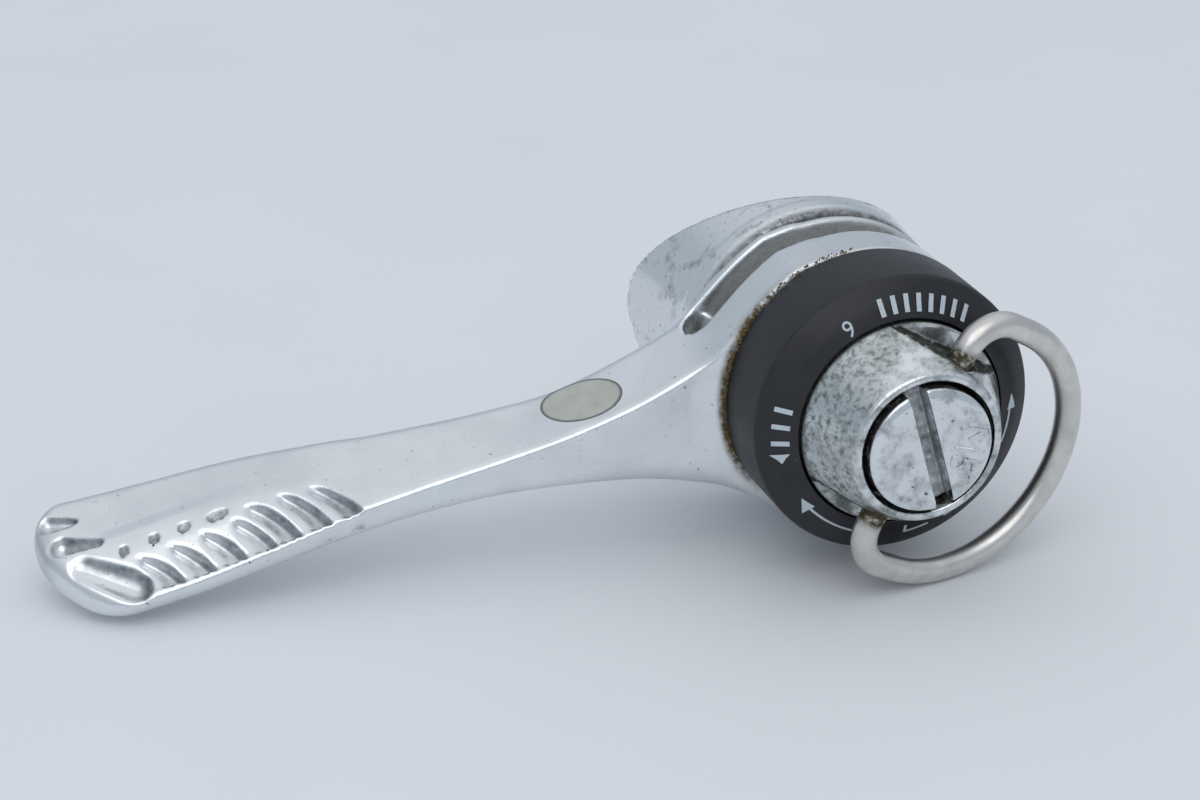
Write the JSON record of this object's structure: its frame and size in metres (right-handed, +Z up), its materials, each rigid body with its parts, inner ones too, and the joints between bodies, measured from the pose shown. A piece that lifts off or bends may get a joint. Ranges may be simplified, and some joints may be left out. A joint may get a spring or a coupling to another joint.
{
  "type": "bicycle shift lever",
  "caption": "Indexed bicycle shift lever for a down tube boss, with ribbed thumb paddle, cable drum, black index ring, mode knob with wire bail and slotted bolt.",
  "frame": {"origin": "on the pivot axis, at the plane where the lever's drum meets the index housing", "axes": "+Y along the pivot from the knob towards the frame's down tube, +Z up as the lever lies on a table, arm towards -X"},
  "size_m": [0.0835, 0.036, 0.0267],
  "materials": {
    "chromed_steel": "decorative chrome plate, pitted and grimy in places",
    "zinc_steel": "zinc-plated pressed steel",
    "black_nylon": "moulded",
    "spring_steel": "blued spring steel",
    "black_resin": "satin moulded resin with a smoother dial face",
    "polished_aluminium": "forged, polished and clear anodised, lightly hazed",
    "cream_enamel": "plain enamel inlay",
    "white_acetal": "moulded",
    "brass": "stamped",
    "bearing_steel": "ground",
    "black_rubber": "moulded",
    "stainless_wire": "drawn wire, satin"
  },
  "bodies": {
    "base": {"rear_cup": "chromed_steel", "stop_plate": "zinc_steel", "friction_washer": "black_nylon", "pivot_sleeve": "zinc_steel", "retaining_ring": "spring_steel", "thrust_washer": "zinc_steel", "wave_spring": "spring_steel", "detent_plate": "zinc_steel", "index_housing": "black_resin"},
    "lever": {"lever": "polished_aluminium", "lever_badge": "cream_enamel", "lever_bush": "white_acetal", "ball_cage": "brass", "detent_balls": "bearing_steel", "drive_pins": "bearing_steel", "stop_pin": "bearing_steel"},
    "knob": {"mode_knob": "chromed_steel", "mode_cam": "zinc_steel", "knob_seal": "black_rubber"},
    "bail": {"bail": "stainless_wire"},
    "bolt": {"mounting_bolt": "chromed_steel", "bolt_seal": "black_rubber"}
  },
  "joints": [
    {"name": "lever_swing", "type": "hinge", "parent": "base", "child": "lever", "pos_m": [0, 0, 0], "axis": [0, 1, 0], "range_deg": [0, 106]},
    {"name": "mode_turn", "type": "hinge", "parent": "base", "child": "knob", "pos_m": [0, -0.008, 0], "axis": [0, 1, 0], "range_deg": [0, 90]},
    {"name": "bail_fold", "type": "hinge", "parent": "knob", "child": "bail", "pos_m": [0, -0.01113, 0], "axis": [-0.4833, 0, -0.8755], "range_deg": [-10, 215]},
    {"name": "bolt_turn", "type": "hinge", "parent": "base", "child": "bolt", "pos_m": [0, -0.01, 0], "axis": [0, 1, 0], "continuous": true}
  ]
}
